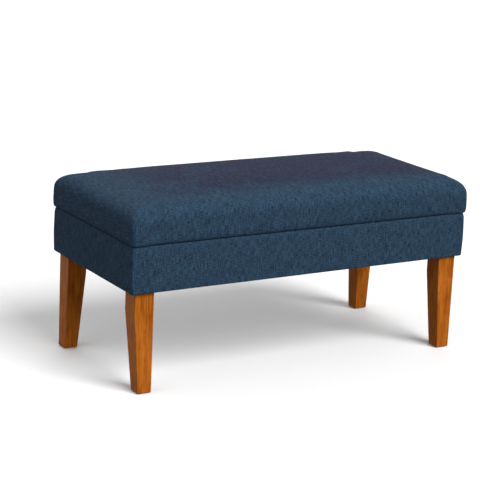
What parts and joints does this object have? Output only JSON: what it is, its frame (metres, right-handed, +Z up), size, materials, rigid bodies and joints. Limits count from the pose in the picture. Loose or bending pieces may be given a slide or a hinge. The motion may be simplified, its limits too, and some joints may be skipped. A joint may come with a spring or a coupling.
{
  "type": "storage bench",
  "caption": "Long upholstered storage bench: padded lid hinged at the rear, cloth-covered box with a lined cavity, tapered square wooden legs.",
  "frame": {"origin": "on the floor, under the middle of the bench", "axes": "+X along the bench to its right end as seen from the front, -Y the front, +Z up"},
  "size_m": [1.03, 0.471, 0.4987],
  "materials": {
    "upholstery_cloth": "matte heathered navy plain weave",
    "batting": "soft white polyester wadding",
    "foam": "open-cell polyurethane foam",
    "lining": "black spun-bonded non-woven",
    "dust_cloth": "black spun-bonded non-woven",
    "plywood": "bare plywood",
    "stained_wood": "satin honey-walnut stain on rubberwood",
    "hinge_steel": "zinc-plated, satin",
    "screw_steel": "zinc-plated",
    "staple_wire": "galvanised wire",
    "sleeve_spring": "spring steel",
    "bumper_rubber": "soft black rubber",
    "glide_plastic": "brown nylon"
  },
  "bodies": {
    "base": {"front_panel": "plywood", "back_panel": "plywood", "left_panel": "plywood", "right_panel": "plywood", "floor_panel": "plywood", "wall_screws": "screw_steel", "floor_screws": "screw_steel", "base_batting": "batting", "base_cover": "upholstery_cloth", "wall_lining": "lining", "floor_lining": "lining", "dust_cover": "dust_cloth", "dust_cover_staples": "staple_wire", "leg_front_left": "stained_wood", "leg_front_right": "stained_wood", "leg_rear_left": "stained_wood", "leg_rear_right": "stained_wood", "leg_bolts": "screw_steel", "leg_tee_nuts": "screw_steel", "foot_glides": "glide_plastic", "lid_bumpers": "bumper_rubber", "hinge_left_base_leaf": "hinge_steel", "hinge_centre_base_leaf": "hinge_steel", "hinge_right_base_leaf": "hinge_steel", "hinge_left_pin": "hinge_steel", "hinge_centre_pin": "hinge_steel", "hinge_right_pin": "hinge_steel", "hinge_base_screws": "screw_steel"},
    "lid": {"lid_board": "plywood", "lid_foam": "foam", "lid_batting": "batting", "lid_cover": "upholstery_cloth", "lid_lining": "lining", "lid_staples": "staple_wire", "hinge_left_lid_leaf": "hinge_steel", "hinge_centre_lid_leaf": "hinge_steel", "hinge_right_lid_leaf": "hinge_steel", "hinge_friction_sleeves": "sleeve_spring", "hinge_lid_screws": "screw_steel"}
  },
  "joints": [
    {"name": "lid_hinge", "type": "hinge", "parent": "base", "child": "lid", "pos_m": [0, 0.232, 0.3865], "axis": [-1, 0, 0], "range_deg": [0, 90]}
  ]
}
